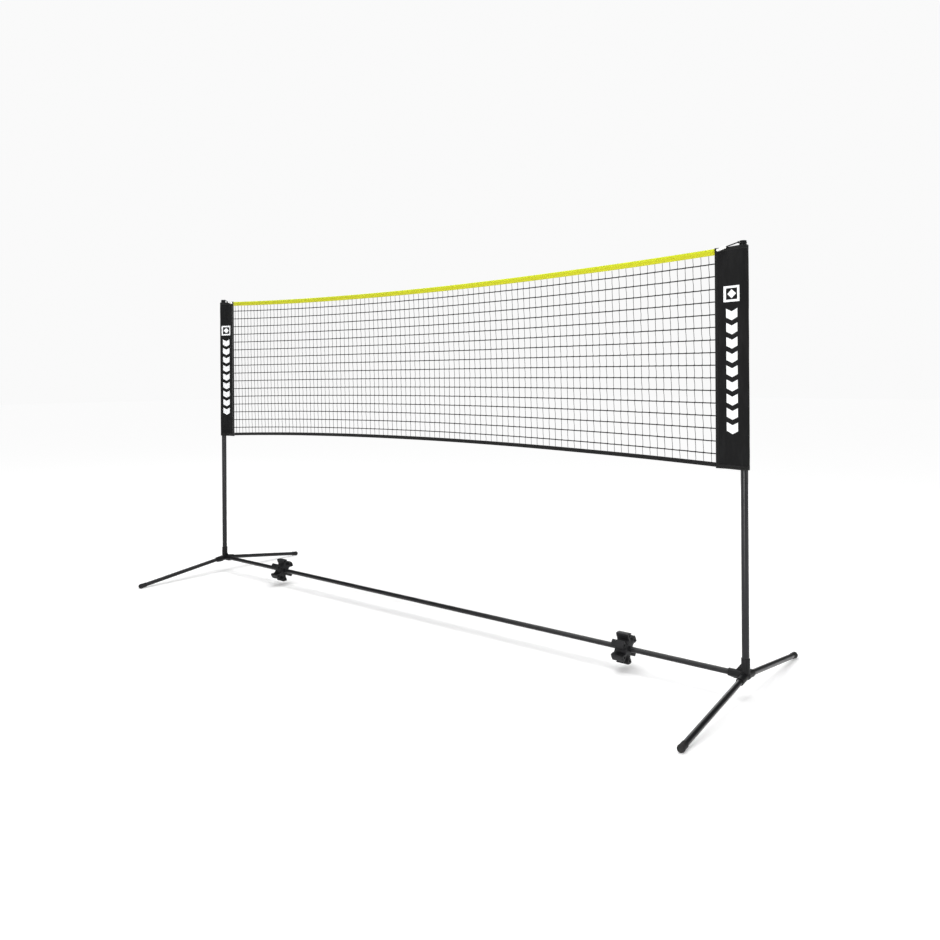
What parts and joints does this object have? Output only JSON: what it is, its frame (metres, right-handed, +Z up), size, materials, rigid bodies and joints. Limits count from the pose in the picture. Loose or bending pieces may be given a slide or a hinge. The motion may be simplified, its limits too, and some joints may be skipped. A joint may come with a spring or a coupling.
{
  "type": "portable play net on poles",
  "caption": "Free-standing play net on telescoping poles: a ground bar joins two cross feet, and cloth sleeves hold a taped mesh between the poles.",
  "frame": {"origin": "on the floor, midway between the poles", "axes": "+X along the ground bar to the right pole, +Y from the front feet to the back feet, +Z up"},
  "size_m": [3.0754, 1.03, 1.5505],
  "materials": {
    "gloss_black_steel": "gloss powder coat",
    "black_steel": "semi-gloss powder coat",
    "moulded_black": "fine moulded texture",
    "clip_plastic": "matte moulded",
    "grey_nylon": "natural moulded nylon",
    "black_rubber": "matte rubber",
    "black_oxford_cloth": "woven oxford polyester",
    "net_twine": "twisted knotted twine",
    "lime_tape": "woven tape, folded hem",
    "black_tape": "woven tape",
    "black_cord": "braided cord",
    "white_plastic": "satin moulded"
  },
  "bodies": {
    "frame": {"hub_left": "moulded_black", "foot_tube_front_left": "black_steel", "foot_cap_front_left": "black_rubber", "foot_tube_back_left": "black_steel", "foot_cap_back_left": "black_rubber", "lower_pole_left": "gloss_black_steel", "pole_collet_left": "grey_nylon", "bar_ferrule_left": "black_steel", "hub_right": "moulded_black", "foot_tube_front_right": "black_steel", "foot_cap_front_right": "black_rubber", "foot_tube_back_right": "black_steel", "foot_cap_back_right": "black_rubber", "lower_pole_right": "gloss_black_steel", "pole_collet_right": "grey_nylon", "bar_ferrule_right": "black_steel", "ground_bar_left": "black_steel", "ground_bar_middle": "black_steel", "ground_bar_right": "black_steel"},
    "upper_pole_left": {"upper_pole_left": "gloss_black_steel", "pole_guide_left": "grey_nylon", "pole_cap_left": "moulded_black"},
    "upper_pole_right": {"upper_pole_right": "gloss_black_steel", "pole_guide_right": "grey_nylon", "pole_cap_right": "moulded_black"},
    "net": {"sleeve_left": "black_oxford_cloth", "tension_hook_left": "white_plastic", "tie_cord_left": "black_cord", "sleeve_right": "black_oxford_cloth", "tension_hook_right": "white_plastic", "tie_cord_right": "black_cord", "net_mesh": "net_twine", "top_tape": "lime_tape", "bottom_tape": "black_tape", "head_cord": "black_cord"},
    "lock_collar_left": {"lock_collar_left": "moulded_black"},
    "lock_collar_right": {"lock_collar_right": "moulded_black"},
    "storage_clip_left": {"storage_clip_left": "clip_plastic"},
    "storage_clip_right": {"storage_clip_right": "clip_plastic"}
  },
  "joints": [
    {"name": "height_left", "type": "slide", "parent": "frame", "child": "upper_pole_left", "axis": [0, 0, 1], "range_m": [-0.61, 0]},
    {"name": "height_right", "type": "slide", "parent": "frame", "child": "upper_pole_right", "axis": [0, 0, 1], "range_m": [-0.61, 0]},
    {"name": "net_height", "type": "slide", "parent": "frame", "child": "net", "axis": [0, 0, 1], "range_m": [-0.61, 0]},
    {"name": "lock_collar_left_turn", "type": "hinge", "parent": "frame", "child": "lock_collar_left", "pos_m": [-1.52, 0, 0.89], "axis": [0, 0, 1], "range_deg": [0, 180]},
    {"name": "lock_collar_right_turn", "type": "hinge", "parent": "frame", "child": "lock_collar_right", "pos_m": [1.52, 0, 0.89], "axis": [0, 0, 1], "range_deg": [0, 180]},
    {"name": "clip_left_slide", "type": "slide", "parent": "frame", "child": "storage_clip_left", "axis": [1, 0, 0], "range_m": [-0.39, 0.96]},
    {"name": "clip_right_slide", "type": "slide", "parent": "frame", "child": "storage_clip_right", "axis": [1, 0, 0], "range_m": [-1.02, 0.33]}
  ],
  "couplings": [
    {"joint": "height_right", "follows": "height_left", "ratio": 1},
    {"joint": "net_height", "follows": "height_left", "ratio": 1}
  ]
}
